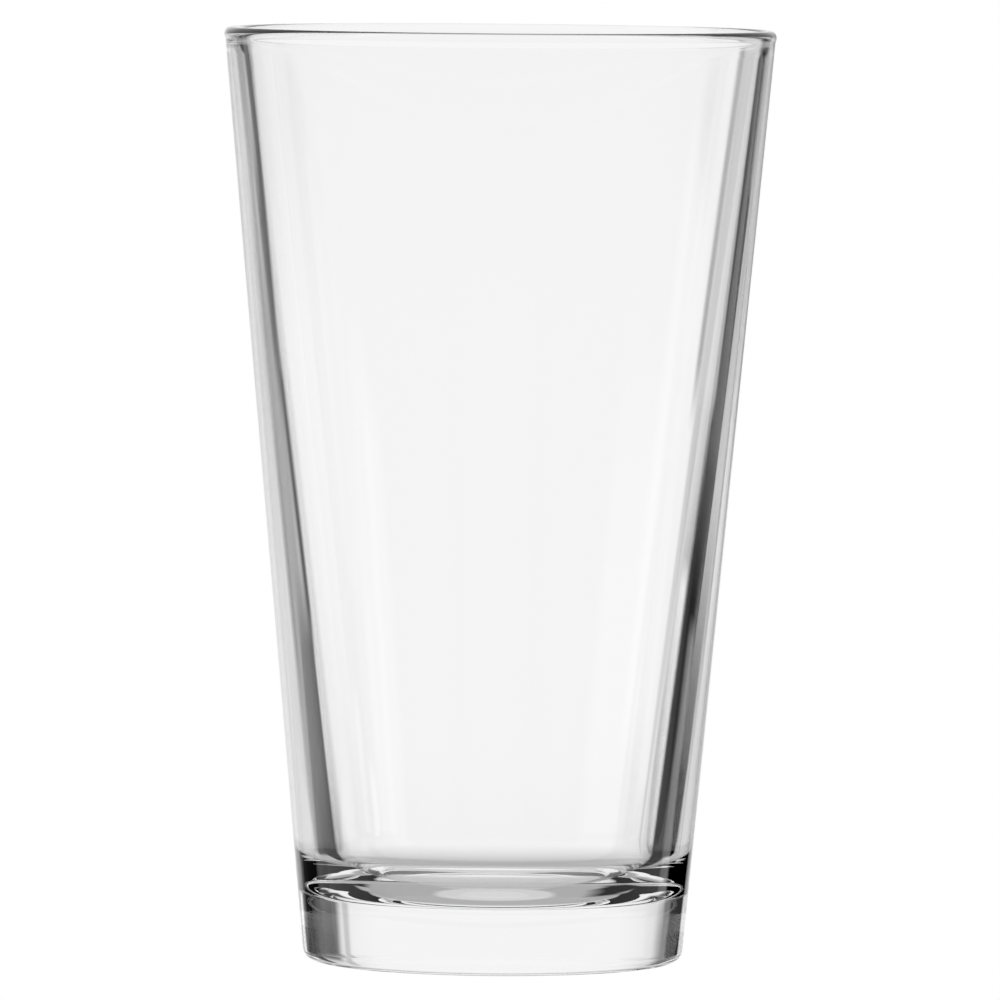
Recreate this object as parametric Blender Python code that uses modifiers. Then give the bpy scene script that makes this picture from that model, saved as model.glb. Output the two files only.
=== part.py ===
"""Mixing glass: a straight-sided, thick-based bar glass, pressed in one piece.

The glass is one turned solid, so the model is one closed profile spun about Z.
Units are metres, +Z is up, and the origin is the centre of the plane that the
glass stands on.
"""

import math

import bpy

# ---- Driving dimensions ---------------------------------------------------

HEIGHT = 0.1492            # table to the crest of the rim
RIM_DIAMETER = 0.0882      # outside, over the rim band
BASE_DIAMETER = 0.0605     # outer cone carried down to the table, before rounding
RIM_WALL = 0.0027          # wall thickness at the crest of the rim
FLOOR_WALL = 0.0067        # wall thickness at the level of the inner floor
FLOOR_THICKNESS = 0.0096   # table to the inner floor, at the centre
DISH_RADIUS = 0.2000       # the inner floor is a shallow spherical dish
HEEL_RADIUS = 0.0093       # inner corner between dish and wall
DISH_STEPS = 6

BAND_HEIGHT = 0.0018       # crest to the lower edge of the upright rim band
BAND_RUNOUT = 0.0004       # height over which the band steps in to the cone
RIM_ROUND = 0.0011         # radius on both edges of the crest
RIM_ROUND_LIMIT = 0.44     # the most of the rim wall that this radius may take

EDGE_RADIUS = 0.0020       # outer corner between wall and underside
BEARING_WIDTH = 0.0045     # flat ring that the glass stands on
PUNT_DEPTH = 0.0025        # how far the underside rises inside that ring
PUNT_STEPS = 8

# ---- Fineness of the turned surface ---------------------------------------

SEGMENTS = 72              # facets round the glass
ARC_STEP = math.radians(12.0)
AXIS_MERGE = 0.00001       # closes the profile on the axis

OBJECT_NAME = "mixing_glass"


# ---- Shape ----------------------------------------------------------------

def outer_radius(z):
    """Radius of the outer cone at height z."""
    top = 0.5 * RIM_DIAMETER
    foot = 0.5 * BASE_DIAMETER
    return foot + (top - foot) * z / HEIGHT


def inner_radius(z):
    """Radius of the inner cone at height z."""
    top = outer_radius(HEIGHT) - RIM_WALL
    foot = outer_radius(FLOOR_THICKNESS) - FLOOR_WALL
    return foot + (top - foot) * (z - FLOOR_THICKNESS) / (HEIGHT - FLOOR_THICKNESS)


def arc(centre, radius, first, last, steps):
    """Points on an arc, both ends included; angles are from +X, in the profile plane."""
    return [(centre[0] + radius * math.cos(first + (last - first) * i / steps),
             centre[1] + radius * math.sin(first + (last - first) * i / steps))
            for i in range(steps + 1)]


def rounded(before, corner, after, radius):
    """Points of the arc that rounds a corner of the profile."""
    arm_in = (before[0] - corner[0], before[1] - corner[1])
    arm_out = (after[0] - corner[0], after[1] - corner[1])
    length_in = math.hypot(*arm_in)
    length_out = math.hypot(*arm_out)
    arm_in = (arm_in[0] / length_in, arm_in[1] / length_in)
    arm_out = (arm_out[0] / length_out, arm_out[1] / length_out)
    cosine = arm_in[0] * arm_out[0] + arm_in[1] * arm_out[1]
    half_angle = 0.5 * math.acos(cosine)
    reach = radius / math.tan(half_angle)

    middle = (arm_in[0] + arm_out[0], arm_in[1] + arm_out[1])
    to_centre = radius / math.sin(half_angle) / math.hypot(*middle)
    centre = (corner[0] + middle[0] * to_centre, corner[1] + middle[1] * to_centre)
    start = (corner[0] + arm_in[0] * reach, corner[1] + arm_in[1] * reach)
    end = (corner[0] + arm_out[0] * reach, corner[1] + arm_out[1] * reach)

    first = math.atan2(start[1] - centre[1], start[0] - centre[0])
    last = math.atan2(end[1] - centre[1], end[0] - centre[0])
    sweep = (last - first + math.pi) % (2.0 * math.pi) - math.pi
    steps = max(2, math.ceil(abs(sweep) / ARC_STEP))
    return arc(centre, radius, first, first + sweep, steps)


def cup_bottom():
    """The dished floor from the axis outward, then the heel's arc up to the wall."""
    lean = math.atan2(inner_radius(HEIGHT) - inner_radius(FLOOR_THICKNESS),
                      HEIGHT - FLOOR_THICKNESS)
    dish_centre = FLOOR_THICKNESS + DISH_RADIUS
    foot = (inner_radius(FLOOR_THICKNESS) - HEEL_RADIUS * math.cos(lean),
            FLOOR_THICKNESS + HEEL_RADIUS * math.sin(lean) - dish_centre)
    along = foot[0] * math.sin(lean) + foot[1] * math.cos(lean)
    excess = foot[0] ** 2 + foot[1] ** 2 - (DISH_RADIUS - HEEL_RADIUS) ** 2
    rise = -along - math.sqrt(along ** 2 - excess)
    heel_centre = (foot[0] + rise * math.sin(lean),
                   foot[1] + rise * math.cos(lean) + dish_centre)

    down = -0.5 * math.pi
    meeting = math.atan2(heel_centre[1] - dish_centre, heel_centre[0])
    steps = math.ceil((-lean - meeting) / ARC_STEP)
    points = arc((0.0, dish_centre), DISH_RADIUS, down, meeting, DISH_STEPS)
    points += arc(heel_centre, HEEL_RADIUS, meeting, -lean, steps)[1:]
    points[0] = (0.0, FLOOR_THICKNESS)
    return points


def punt(ring_inner):
    """The shallow hollow under the base, from the bearing ring to the axis."""
    points = []
    for i in range(1, PUNT_STEPS + 1):
        share = 1.0 - i / PUNT_STEPS
        points.append((ring_inner * share, PUNT_DEPTH * (1.0 - share * share)))
    return points


def profile():
    """Half section (radius, height): floor, inner wall, rim, outer wall, base."""
    crest_in = (inner_radius(HEIGHT), HEIGHT)
    crest_out = (0.5 * RIM_DIAMETER, HEIGHT)
    band_foot = (0.5 * RIM_DIAMETER, HEIGHT - BAND_HEIGHT + BAND_RUNOUT)
    cone_top = (outer_radius(HEIGHT - BAND_HEIGHT), HEIGHT - BAND_HEIGHT)
    base_corner = (outer_radius(0.0), 0.0)

    rim_round = min(RIM_ROUND, RIM_ROUND_LIMIT * RIM_WALL)
    edge_arc = rounded(cone_top, base_corner, (0.0, 0.0), EDGE_RADIUS)
    ring_inner = edge_arc[-1][0] - BEARING_WIDTH

    points = cup_bottom()
    points += rounded(points[-1], crest_in, crest_out, rim_round)
    points += rounded(crest_in, crest_out, band_foot, rim_round)
    points += [band_foot, cone_top]
    points += edge_arc
    points += [(ring_inner, 0.0)]
    points += punt(ring_inner)
    return points


# ---- Blender objects ------------------------------------------------------

def clear_scene():
    for item in list(bpy.data.objects):
        bpy.data.objects.remove(item, do_unlink=True)


def parts_collection():
    collection = bpy.data.collections.new(OBJECT_NAME)
    bpy.context.scene.collection.children.link(collection)
    return collection


def clear_glass():
    """Colourless soda-lime glass."""
    material = bpy.data.materials.new("clear_glass")
    material.use_nodes = True
    shader = material.node_tree.nodes["Principled BSDF"]
    shader.inputs["Base Color"].default_value = (0.97, 0.98, 0.98, 1.0)
    shader.inputs["Roughness"].default_value = 0.02
    shader.inputs["Metallic"].default_value = 0.0
    shader.inputs["IOR"].default_value = 1.52
    shader.inputs["Transmission Weight"].default_value = 1.0
    return material


def turned(name, points, material, collection):
    """Spin a half section about Z into one closed solid."""
    mesh = bpy.data.meshes.new(name)
    edges = [(i, i + 1) for i in range(len(points) - 1)]
    mesh.from_pydata([(radius, 0.0, height) for radius, height in points], edges, [])
    mesh.materials.append(material)
    body = bpy.data.objects.new(name, mesh)
    collection.objects.link(body)

    screw = body.modifiers.new("turn", "SCREW")
    screw.axis = "Z"
    screw.angle = 2.0 * math.pi
    screw.steps = SEGMENTS
    screw.render_steps = SEGMENTS
    screw.use_smooth_shade = True
    screw.use_merge_vertices = True
    screw.merge_threshold = AXIS_MERGE
    return body


def main():
    clear_scene()
    collection = parts_collection()
    turned("glass_body", profile(), clear_glass(), collection)


main()
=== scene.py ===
"""Looks of the mixing glass: one finely turned piece of clear glass on a pale floor.

Units are metres, +Z is up, and the origin is the centre of the plane that the
glass stands on, as in the CAD frame. The camera looks along +Y.
"""

import math

import bpy
import numpy as np
from mathutils import Matrix, Vector


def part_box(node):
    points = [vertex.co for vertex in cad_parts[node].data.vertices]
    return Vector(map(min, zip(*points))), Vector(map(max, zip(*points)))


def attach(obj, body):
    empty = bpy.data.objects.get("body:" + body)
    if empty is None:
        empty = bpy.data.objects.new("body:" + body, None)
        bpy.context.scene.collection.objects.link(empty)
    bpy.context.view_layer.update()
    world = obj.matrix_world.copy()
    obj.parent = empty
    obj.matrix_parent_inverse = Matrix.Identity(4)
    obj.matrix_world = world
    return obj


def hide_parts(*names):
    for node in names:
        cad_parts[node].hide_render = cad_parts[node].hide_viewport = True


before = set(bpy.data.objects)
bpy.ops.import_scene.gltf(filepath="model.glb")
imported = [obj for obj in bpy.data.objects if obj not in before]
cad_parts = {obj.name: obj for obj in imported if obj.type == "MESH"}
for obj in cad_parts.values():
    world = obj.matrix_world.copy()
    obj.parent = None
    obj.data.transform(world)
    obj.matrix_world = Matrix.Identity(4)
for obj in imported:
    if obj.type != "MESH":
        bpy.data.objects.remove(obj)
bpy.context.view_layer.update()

# ---- The glass, as in the CAD model ---------------------------------------

NODE = "glass_body"
NODE_LOW, NODE_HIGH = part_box(NODE)
HEIGHT = NODE_HIGH[2] - NODE_LOW[2]
RIM_DIAMETER = NODE_HIGH[0] - NODE_LOW[0]
BASE_DIAMETER = 0.0605     # outer cone carried down to the table, before rounding
RIM_WALL = 0.0027          # wall thickness at the crest of the rim
FLOOR_WALL = 0.0067        # wall thickness at the level of the inner floor
FLOOR_THICKNESS = 0.0096   # table to the inner floor, at the centre
DISH_RADIUS = 0.2000       # the inner floor is a shallow spherical dish
HEEL_RADIUS = 0.0093       # inner corner between dish and wall
BAND_HEIGHT = 0.0018       # crest to the lower edge of the upright rim band
BAND_RUNOUT = 0.0004       # height over which the band steps in to the cone
RIM_ROUND = 0.0011         # radius on both edges of the crest
EDGE_RADIUS = 0.0020       # outer corner between wall and underside
BEARING_WIDTH = 0.0045     # flat ring that the glass stands on
PUNT_DEPTH = 0.0025        # how far the underside rises inside that ring

# ---- What only the looks have ---------------------------------------------

PLUNGER_OFFSET_RIM = 0.00048    # the cup is pressed a little off centre at the rim
PLUNGER_OFFSET_FLOOR = 0.00016  # and less so at the floor
GLASS_IOR = 1.52                # refractive index of soda-lime glass

# ---- Fineness of the glass's mesh -----------------------------------------

SEGMENTS = 288                  # round the axis
ARC_STEP = math.radians(3.0)    # largest turn between two points of a rounded corner
MIN_ARC_STEPS = 2               # fewest stretches in a rounded corner
WALL_STEPS = 60                 # along each side of the wall
DISH_STEPS = 16                 # from the centre of the inner floor to the heel
PUNT_STEPS = 16                 # from the bearing ring to the centre of the underside

# ---- Camera ---------------------------------------------------------------

CAMERA_DISTANCE = 2.028         # in front of the glass's axis
CAMERA_HEIGHT = 0.1864          # above the table
AIM_HEIGHT = 0.0738             # the point looked at, above the table
AIM_SIDE = 0.00056              # and to the right of the axis
FIELD_OF_VIEW = math.radians(4.511)
CAMERA_ROLL = math.radians(0.5)
SENSOR = 36.0                   # width in millimetres; it only sets the lens

# ---- Stage ----------------------------------------------------------------

STUDIO_RADIUS = 6.0             # reach of the floor, and height of the wall at its edge
STUDIO_CORNERS = 96             # corners of the floor's outline
FLOOR_GAP = 0.0002              # keeps the floor just clear of the glass
STUDIO_WHITE = 1.0              # grey level of the floor and the wall
SCREEN_RADIUS = 0.150           # a painted screen stands in a ring round the glass
SCREEN_COLUMNS = 720            # faces round the ring
SCREEN_ROWS = 300               # faces from its foot to its top
SCREEN_TILT = math.radians(75.0)  # from the origin, up to its top and down to its foot
SURROUND = 0.70                 # grey level of the bare screen and of the world
MM_PER_METRE = 1000.0           # the table below gives heights in millimetres

# What is painted on the screen, each area over those before it. The values came from a
# fit of the glass's refractions to the photograph, and were then rounded.
# Bearings are degrees from straight behind the glass, to the right, at the area's foot
# and at its top; heights are millimetres above the table. The last two are the widths
# of its soft edges: at the sides in degrees, at the foot and top in millimetres.
#   name, left foot, left top, right foot, right top, foot, top, grey, soft side, soft end
AREAS = [
    ("under_the_table", -200, -200, 200, 200, -2000, 0, 0.65, 1, 25),
    ("overhead", -200, -200, 200, 200, 150, 2000, 0.50, 1, 50),
    ("backdrop", -30, -37, 28, 33, -50, 190, 0.95, 19, 25),
    ("table_edge", -200, -200, 200, 200, -300, -45, 0.42, 3, 55),
    ("left_card", -58, -54, -39, -40, -30, 105, 0.25, 6, 45),
    ("left_card_edge_low", -63.5, -56.5, -59, -52, 25, 75, 0.0, 3, 10),
    ("left_card_edge_high", -55, -58, -50, -43, 70, 155, 0.0, 3, 15),
    ("left_card_head", -51, -44, -41.5, -34.5, 110, 160, 0.45, 2, 20),
    ("left_card_foot", -66, -61, -41, -48, -27, 32, 0.05, 2, 15),
    ("left_shade", -83, -76, -57, -50, -65, -7, 0.0, 1, 20),
    ("right_gap", 30, 24.5, 30, 32, -55, 160, 0.55, 1, 10),
    ("right_seam", 24.5, 22.5, 26.5, 24.5, 75, 160, 0.25, 1, 12),
    ("right_card", 46, 40, 59, 53.5, 11, 105, 0.0, 1, 5),
    ("right_card_head", 41.5, 38, 59, 52, 98, 155, 0.0, 6, 15),
    ("right_card_foot", 33, 32, 60, 60, -3, 37, 0.15, 3, 35),
    ("right_shade", 45, 49, 79, 72, -135, 70, 0.0, 7, 60),
    ("right_shade_inner", 40, 33, 65, 58, -27, 11, 0.0, 2, 13),
    ("right_light_wide", 81, 85, 103, 96, 0, 105, 1.3, 5, 13),
    ("right_grey", 55, 49.5, 77, 70, 65, 140, 0.5, 2, 5),
    ("right_light", 67, 63, 76, 69, -15, 35, 1.5, 3, 5),
    ("left_light", -110, -103, -66, -59, -10, 95, 1.1, 4, 40),
    ("horizon", -39, -32, 21, 28, -3, 8, 0.92, 2, 20),
]


# ---- Shape ----------------------------------------------------------------

def outer_radius(z):
    """Radius of the outer cone at height z."""
    top = 0.5 * RIM_DIAMETER
    foot = 0.5 * BASE_DIAMETER
    return foot + (top - foot) * z / HEIGHT


def inner_radius(z):
    """Radius of the inner cone at height z."""
    top = outer_radius(HEIGHT) - RIM_WALL
    foot = outer_radius(FLOOR_THICKNESS) - FLOOR_WALL
    return foot + (top - foot) * (z - FLOOR_THICKNESS) / (HEIGHT - FLOOR_THICKNESS)


def arc(centre, radius, first, last, steps):
    """Points on an arc, both ends included; angles are from +X, in the profile plane."""
    return [(centre[0] + radius * math.cos(first + (last - first) * i / steps),
             centre[1] + radius * math.sin(first + (last - first) * i / steps))
            for i in range(steps + 1)]


def rounded(before, corner, after, radius):
    """Points of the arc that rounds a corner of the profile."""
    arm_in = (Vector(before) - Vector(corner)).normalized()
    arm_out = (Vector(after) - Vector(corner)).normalized()
    half_angle = 0.5 * arm_in.angle(arm_out)
    reach = radius / math.tan(half_angle)
    centre = Vector(corner) + (arm_in + arm_out).normalized() * radius / math.sin(half_angle)
    start = Vector(corner) + arm_in * reach - centre
    end = Vector(corner) + arm_out * reach - centre
    first = math.atan2(start.y, start.x)
    last = math.atan2(end.y, end.x)
    sweep = (last - first + math.pi) % (2.0 * math.pi) - math.pi
    steps = max(MIN_ARC_STEPS, math.ceil(abs(sweep) / ARC_STEP))
    return arc(centre, radius, first, first + sweep, steps)


def straight(start, end, steps):
    """Points between two ends of a straight stretch, without the ends."""
    a = Vector(start)
    b = Vector(end)
    return [tuple(a.lerp(b, i / steps)) for i in range(1, steps)]


def cup_bottom():
    """The dished floor from the axis outward, then the heel's arc up to the wall."""
    lean = math.atan2(inner_radius(HEIGHT) - inner_radius(FLOOR_THICKNESS),
                      HEIGHT - FLOOR_THICKNESS)
    dish_centre = FLOOR_THICKNESS + DISH_RADIUS
    foot = (inner_radius(FLOOR_THICKNESS) - HEEL_RADIUS * math.cos(lean),
            FLOOR_THICKNESS + HEEL_RADIUS * math.sin(lean) - dish_centre)
    along = foot[0] * math.sin(lean) + foot[1] * math.cos(lean)
    excess = foot[0] ** 2 + foot[1] ** 2 - (DISH_RADIUS - HEEL_RADIUS) ** 2
    rise = -along - math.sqrt(along ** 2 - excess)
    heel_centre = (foot[0] + rise * math.sin(lean),
                   foot[1] + rise * math.cos(lean) + dish_centre)

    down = -0.5 * math.pi
    meeting = math.atan2(heel_centre[1] - dish_centre, heel_centre[0])
    steps = math.ceil((-lean - meeting) / ARC_STEP)
    points = arc((0.0, dish_centre), DISH_RADIUS, down, meeting, DISH_STEPS)
    points += arc(heel_centre, HEEL_RADIUS, meeting, -lean, steps)[1:]
    points[0] = (0.0, FLOOR_THICKNESS)
    return points


def inside_profile():
    """Half section of the cup, from the floor's centre to the crest's inner arc."""
    crest_in = (inner_radius(HEIGHT), HEIGHT)
    crest_out = (0.5 * RIM_DIAMETER, HEIGHT)
    bottom = cup_bottom()
    rim_arc = rounded(bottom[-1], crest_in, crest_out, RIM_ROUND)
    return bottom + straight(bottom[-1], rim_arc[0], WALL_STEPS) + rim_arc


def outside_profile():
    """Half section from the crest's outer arc down the wall and under the base."""
    crest_in = (inner_radius(HEIGHT), HEIGHT)
    crest_out = (0.5 * RIM_DIAMETER, HEIGHT)
    band_foot = (0.5 * RIM_DIAMETER, HEIGHT - BAND_HEIGHT + BAND_RUNOUT)
    cone_top = (outer_radius(HEIGHT - BAND_HEIGHT), HEIGHT - BAND_HEIGHT)
    base_corner = (outer_radius(0.0), 0.0)
    edge_arc = rounded(cone_top, base_corner, (0.0, 0.0), EDGE_RADIUS)
    ring_inner = edge_arc[-1][0] - BEARING_WIDTH

    points = rounded(crest_in, crest_out, band_foot, RIM_ROUND)
    points += [band_foot, cone_top]
    points += straight(cone_top, edge_arc[0], WALL_STEPS)
    points += edge_arc
    points += [(ring_inner, 0.0)]
    for i in range(1, PUNT_STEPS + 1):
        share = 1.0 - i / PUNT_STEPS
        points.append((ring_inner * share, PUNT_DEPTH * (1.0 - share * share)))
    return points


def plunger_shift(z):
    """How far the cup's axis stands off the glass's axis at height z."""
    share = (z - FLOOR_THICKNESS) / (HEIGHT - FLOOR_THICKNESS)
    return PLUNGER_OFFSET_FLOOR + (PLUNGER_OFFSET_RIM - PLUNGER_OFFSET_FLOOR) * share


def spun_mesh(name):
    """The closed turned surface, ring by ring, with its poles on the axis."""
    inside = inside_profile()
    outside = outside_profile()
    rings = [(r, z, plunger_shift(z)) for r, z in inside]
    rings += [(r, z, 0.0) for r, z in outside]
    vertices = []
    faces = []
    for r, z, shift in rings[1:-1]:
        for k in range(SEGMENTS):
            angle = 2.0 * math.pi * k / SEGMENTS
            vertices.append((r * math.cos(angle) + shift, r * math.sin(angle), z))
    count = len(rings) - 2
    for j in range(count - 1):
        for k in range(SEGMENTS):
            after = (k + 1) % SEGMENTS
            faces.append((j * SEGMENTS + k, (j + 1) * SEGMENTS + k,
                          (j + 1) * SEGMENTS + after, j * SEGMENTS + after))
    floor_pole = len(vertices)
    vertices.append((rings[0][2], 0.0, rings[0][1]))
    base_pole = len(vertices)
    vertices.append((0.0, 0.0, rings[-1][1]))
    last = (count - 1) * SEGMENTS
    for k in range(SEGMENTS):
        after = (k + 1) % SEGMENTS
        faces.append((floor_pole, k, after))
        faces.append((base_pole, last + after, last + k))
    mesh = bpy.data.meshes.new(name)
    mesh.from_pydata(vertices, [], faces)
    mesh.validate()
    mesh.shade_smooth()
    return mesh


# ---- Materials ------------------------------------------------------------

def clear_glass():
    """Colourless soda-lime glass, perfectly clear inside and polished all over."""
    material = bpy.data.materials.new("clear_glass")
    material.use_nodes = True
    nodes = material.node_tree.nodes
    shader = nodes["Principled BSDF"]
    shader.inputs["Base Color"].default_value = (1.0, 1.0, 1.0, 1.0)
    shader.inputs["Roughness"].default_value = 0.0
    shader.inputs["IOR"].default_value = GLASS_IOR
    shader.inputs["Transmission Weight"].default_value = 1.0
    return material


def plain_light(name, level):
    """A surface that gives off one even grey, whatever light falls on it."""
    material = bpy.data.materials.new(name)
    material.use_nodes = True
    nodes = material.node_tree.nodes
    nodes.clear()
    emission = nodes.new("ShaderNodeEmission")
    emission.inputs["Color"].default_value = (level, level, level, 1.0)
    output = nodes.new("ShaderNodeOutputMaterial")
    material.node_tree.links.new(emission.outputs["Emission"], output.inputs["Surface"])
    return material


# ---- Pieces ---------------------------------------------------------------

def add_object(name, mesh, material):
    """A new object in the scene, from a mesh and its one material."""
    mesh.materials.append(material)
    item = bpy.data.objects.new(name, mesh)
    bpy.context.scene.collection.objects.link(item)
    return item


def make_glass():
    """The visible glass, in place of the coarser CAD node."""
    piece = add_object("glass_body_fine", spun_mesh("glass_body_fine"), clear_glass())
    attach(piece, "root")
    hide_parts(NODE)


# ---- Stage ----------------------------------------------------------------

def only_for_camera(item):
    """The object shows past the glass, but the glass doesn't refract or mirror it."""
    item.visible_glossy = False
    item.visible_transmission = False
    item.visible_diffuse = False
    item.visible_shadow = False


def only_for_glass(item):
    """The glass refracts and mirrors the object, but the camera doesn't see it directly."""
    item.visible_camera = False
    item.visible_diffuse = False
    item.visible_shadow = False


def studio_ring(z):
    """Corners of the studio's round outline at height z."""
    angles = [2.0 * math.pi * k / STUDIO_CORNERS for k in range(STUDIO_CORNERS)]
    return [(STUDIO_RADIUS * math.cos(angle), STUDIO_RADIUS * math.sin(angle), z)
            for angle in angles]


def make_studio():
    """White floor and white wall all round, seen past the glass."""
    white = plain_light("studio_white", STUDIO_WHITE)
    foot = studio_ring(-FLOOR_GAP)
    top = studio_ring(STUDIO_RADIUS)
    count = STUDIO_CORNERS
    panels = []
    for k in range(count):
        after = (k + 1) % count
        panels.append((k, after, count + after, count + k))
    floor = bpy.data.meshes.new("floor")
    floor.from_pydata(foot, [], [tuple(range(count))])
    wall = bpy.data.meshes.new("wall")
    wall.from_pydata(foot + top, [], panels)
    for name, mesh in (("floor", floor), ("wall", wall)):
        item = add_object(name, mesh, white)
        only_for_camera(item)


def soft_step(distance, width):
    """From 0 outside an edge to 1 inside it, evenly over a width centred on the edge."""
    return np.clip(distance / width + 0.5, 0.0, 1.0)


def screen_grey(bearing, height):
    """Greys of the painted screen at bearings in degrees and heights in millimetres."""
    grey = np.full(bearing.shape, SURROUND)
    for area in AREAS:
        left_foot, left_top, right_foot, right_top = area[1:5]
        foot, top, level, soft_side, soft_end = area[5:]
        share = np.clip((height - foot) / (top - foot), 0.0, 1.0)
        left = left_foot + (left_top - left_foot) * share
        right = right_foot + (right_top - right_foot) * share
        cover = soft_step(bearing - left, soft_side) * soft_step(right - bearing, soft_side)
        cover = cover * soft_step(height - foot, soft_end) * soft_step(top - height, soft_end)
        grey = grey + (level - grey) * cover
    return grey


def add_painted(name, mesh, greys):
    """A stage mesh that glows with its own grey at each vertex, seen only by the glass."""
    paint = mesh.attributes.new("grey", "FLOAT", "POINT")
    paint.data.foreach_set("value", greys)
    material = plain_light(name + "_paint", SURROUND)
    nodes = material.node_tree.nodes
    reader = nodes.new("ShaderNodeAttribute")
    reader.attribute_name = "grey"
    material.node_tree.links.new(reader.outputs["Fac"], nodes["Emission"].inputs["Color"])
    item = add_object(name, mesh, material)
    only_for_glass(item)


def make_screen():
    """The ring of soft light and shade that only the glass sees."""
    tilts = np.linspace(-SCREEN_TILT, SCREEN_TILT, SCREEN_ROWS + 1)
    bearings = np.arange(SCREEN_COLUMNS) * 2.0 * math.pi / SCREEN_COLUMNS - math.pi
    bearing, height = np.meshgrid(bearings, SCREEN_RADIUS * np.tan(tilts))
    side = SCREEN_RADIUS * np.sin(bearing)
    behind = SCREEN_RADIUS * np.cos(bearing)
    points = np.stack([side, behind, height], axis=2)
    greys = screen_grey(np.degrees(bearing), MM_PER_METRE * height)
    faces = []
    for j in range(SCREEN_ROWS):
        row = j * SCREEN_COLUMNS
        for i in range(SCREEN_COLUMNS):
            after = (i + 1) % SCREEN_COLUMNS
            faces.append((row + i, row + after, row + SCREEN_COLUMNS + after,
                          row + SCREEN_COLUMNS + i))
    mesh = bpy.data.meshes.new("screen")
    mesh.from_pydata(points.reshape(-1, 3).tolist(), [], faces)
    add_painted("screen", mesh, greys.ravel().tolist())


def make_world():
    """The plain grey beyond the screen."""
    world = bpy.data.worlds.new("studio")
    bpy.context.scene.world = world
    world.use_nodes = True
    background = world.node_tree.nodes["Background"]
    background.inputs["Color"].default_value = (SURROUND, SURROUND, SURROUND, 1.0)
    background.inputs["Strength"].default_value = 1.0


def make_camera():
    """The photograph's view: a long lens, a little above the rim and slightly rolled."""
    data = bpy.data.cameras.new("camera")
    data.sensor_width = SENSOR
    data.lens = 0.5 * SENSOR / math.tan(0.5 * FIELD_OF_VIEW)
    camera = bpy.data.objects.new("camera", data)
    bpy.context.scene.collection.objects.link(camera)
    place = Vector((0.0, -CAMERA_DISTANCE, CAMERA_HEIGHT))
    look = Vector((AIM_SIDE, 0.0, AIM_HEIGHT)) - place
    turn = look.to_track_quat("-Z", "Y").to_matrix().to_4x4()
    camera.matrix_world = Matrix.Translation(place) @ turn @ Matrix.Rotation(CAMERA_ROLL, 4, "Z")
    bpy.context.scene.camera = camera


make_camera()
make_world()
make_studio()
make_screen()
make_glass()
bpy.context.scene.view_settings.view_transform = "Standard"  # greys come out as given
